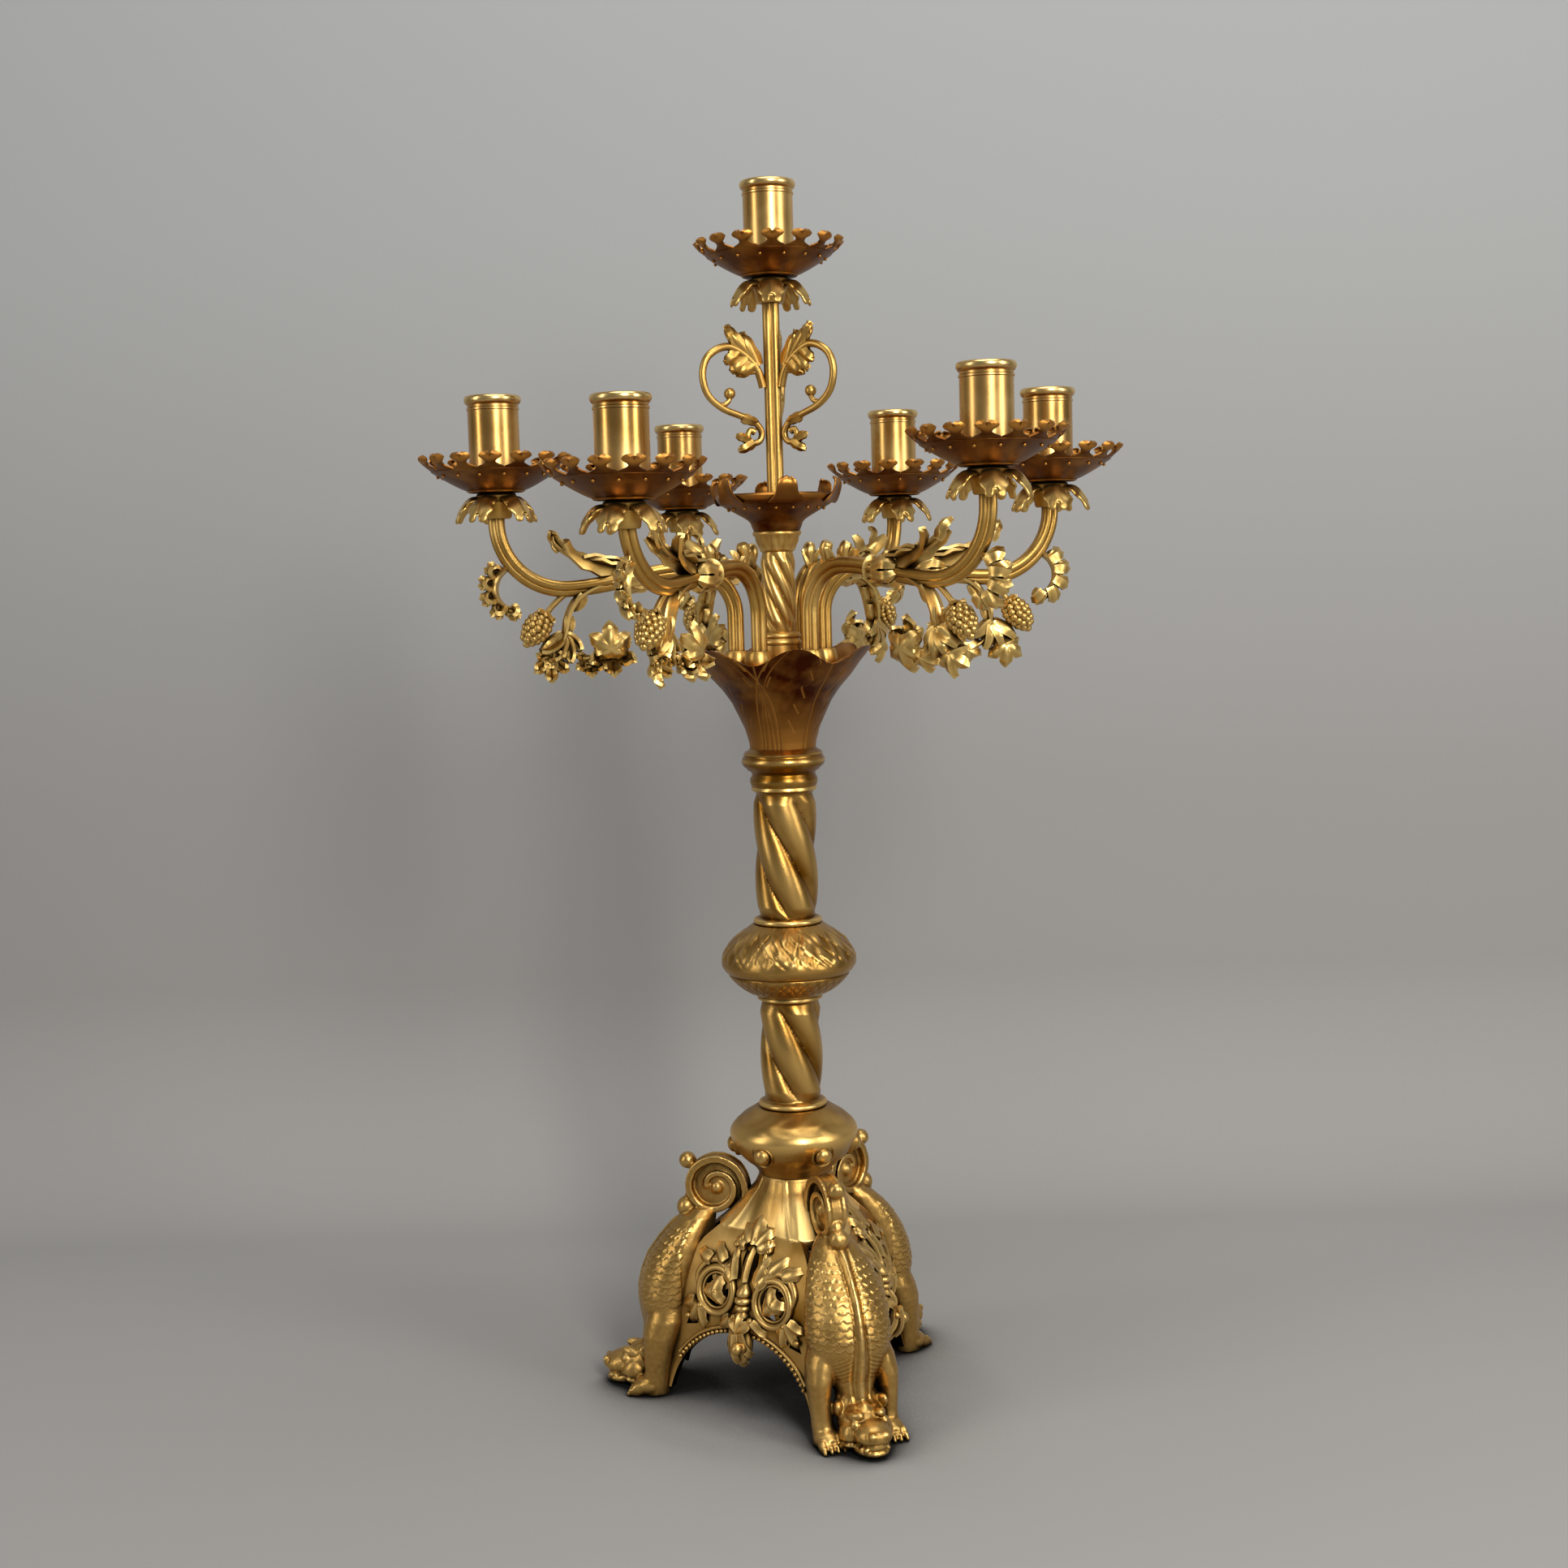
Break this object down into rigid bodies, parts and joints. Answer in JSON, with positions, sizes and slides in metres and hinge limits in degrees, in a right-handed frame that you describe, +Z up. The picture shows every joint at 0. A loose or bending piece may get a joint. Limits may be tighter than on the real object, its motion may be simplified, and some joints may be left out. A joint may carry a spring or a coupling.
{
  "type": "candelabra",
  "caption": "Brass altar candelabra: twisted column with knops on a three-beast base, curved vine arms round a taller centre stem, a candle cup over each drip pan.",
  "frame": {"origin": "the point of the floor under the column's axis", "axes": "+Z up the column, -Y towards the front as pictured, +X to the viewer's right"},
  "size_m": [0.3994, 0.3706, 0.7],
  "materials": {
    "polished_brass": "polished, lightly rubbed",
    "dark_pan_brass": "red-brown lacquered patina",
    "pale_gilt": "old pale gilding, satin",
    "leaf_gilt": "old gilding, dark in the recesses",
    "column_gilt": "golden brown, ridges rubbed bright",
    "base_gilt": "warm matt gilding, dark in the recesses",
    "plain_brass": "plain machined brass",
    "steel": "dull steel"
  },
  "bodies": {
    "stand": {"drip_pan_1": "dark_pan_brass", "drip_pan_2": "dark_pan_brass", "drip_pan_3": "dark_pan_brass", "drip_pan_4": "dark_pan_brass", "drip_pan_5": "dark_pan_brass", "drip_pan_6": "dark_pan_brass", "centre_drip_pan": "dark_pan_brass", "crown_dish": "dark_pan_brass", "calyx": "dark_pan_brass", "arm_1": "pale_gilt", "arm_2": "pale_gilt", "arm_3": "pale_gilt", "arm_4": "pale_gilt", "arm_5": "pale_gilt", "arm_6": "pale_gilt", "centre_stem": "pale_gilt", "centre_scroll_1": "pale_gilt", "centre_scroll_2": "pale_gilt", "centre_scroll_3": "pale_gilt", "arm_foliage_1": "leaf_gilt", "arm_foliage_2": "leaf_gilt", "arm_foliage_3": "leaf_gilt", "arm_foliage_4": "leaf_gilt", "arm_foliage_5": "leaf_gilt", "arm_foliage_6": "leaf_gilt", "leaf_collar_1": "leaf_gilt", "leaf_collar_2": "leaf_gilt", "leaf_collar_3": "leaf_gilt", "leaf_collar_4": "leaf_gilt", "leaf_collar_5": "leaf_gilt", "leaf_collar_6": "leaf_gilt", "centre_leaf_collar": "leaf_gilt", "lower_knop": "column_gilt", "lower_knop_bosses": "column_gilt", "lower_column": "column_gilt", "mid_knop": "column_gilt", "upper_column": "column_gilt", "collar_rings": "column_gilt", "centre_column": "column_gilt", "base_beast_1": "base_gilt", "base_beast_2": "base_gilt", "base_beast_3": "base_gilt", "base_panel_1": "base_gilt", "base_panel_2": "base_gilt", "base_panel_3": "base_gilt", "base_neck": "base_gilt", "arm_hub": "plain_brass", "arm_nuts": "plain_brass", "tie_rod": "steel", "tie_rod_nut": "steel", "tie_rod_washer": "steel"},
    "cup_1": {"candle_cup_1": "polished_brass"},
    "cup_2": {"candle_cup_2": "polished_brass"},
    "cup_3": {"candle_cup_3": "polished_brass"},
    "cup_4": {"candle_cup_4": "polished_brass"},
    "cup_5": {"candle_cup_5": "polished_brass"},
    "cup_6": {"candle_cup_6": "polished_brass"},
    "cup_centre": {"centre_candle_cup": "polished_brass"}
  },
  "joints": [
    {"name": "cup_1_unscrew", "type": "hinge", "parent": "stand", "child": "cup_1", "pos_m": [-0.1554, -0.0274, 0.532], "axis": [0, 0, 1], "range_deg": [0, 1440]},
    {"name": "cup_2_unscrew", "type": "hinge", "parent": "stand", "child": "cup_2", "pos_m": [-0.0765, -0.13801, 0.522], "axis": [0, 0, 1], "range_deg": [0, 1440]},
    {"name": "cup_3_unscrew", "type": "hinge", "parent": "stand", "child": "cup_3", "pos_m": [0.10962, -0.11351, 0.535], "axis": [0, 0, 1], "range_deg": [0, 1440]},
    {"name": "cup_4_unscrew", "type": "hinge", "parent": "stand", "child": "cup_4", "pos_m": [0.1572, 0.01375, 0.531], "axis": [0, 0, 1], "range_deg": [0, 1440]},
    {"name": "cup_5_unscrew", "type": "hinge", "parent": "stand", "child": "cup_5", "pos_m": [0.0753, 0.13868, 0.53], "axis": [0, 0, 1], "range_deg": [0, 1440]},
    {"name": "cup_6_unscrew", "type": "hinge", "parent": "stand", "child": "cup_6", "pos_m": [-0.06039, 0.14579, 0.525], "axis": [0, 0, 1], "range_deg": [0, 1440]},
    {"name": "cup_centre_unscrew", "type": "hinge", "parent": "stand", "child": "cup_centre", "pos_m": [0, 0, 0.649], "axis": [0, 0, 1], "range_deg": [0, 1440]}
  ]
}
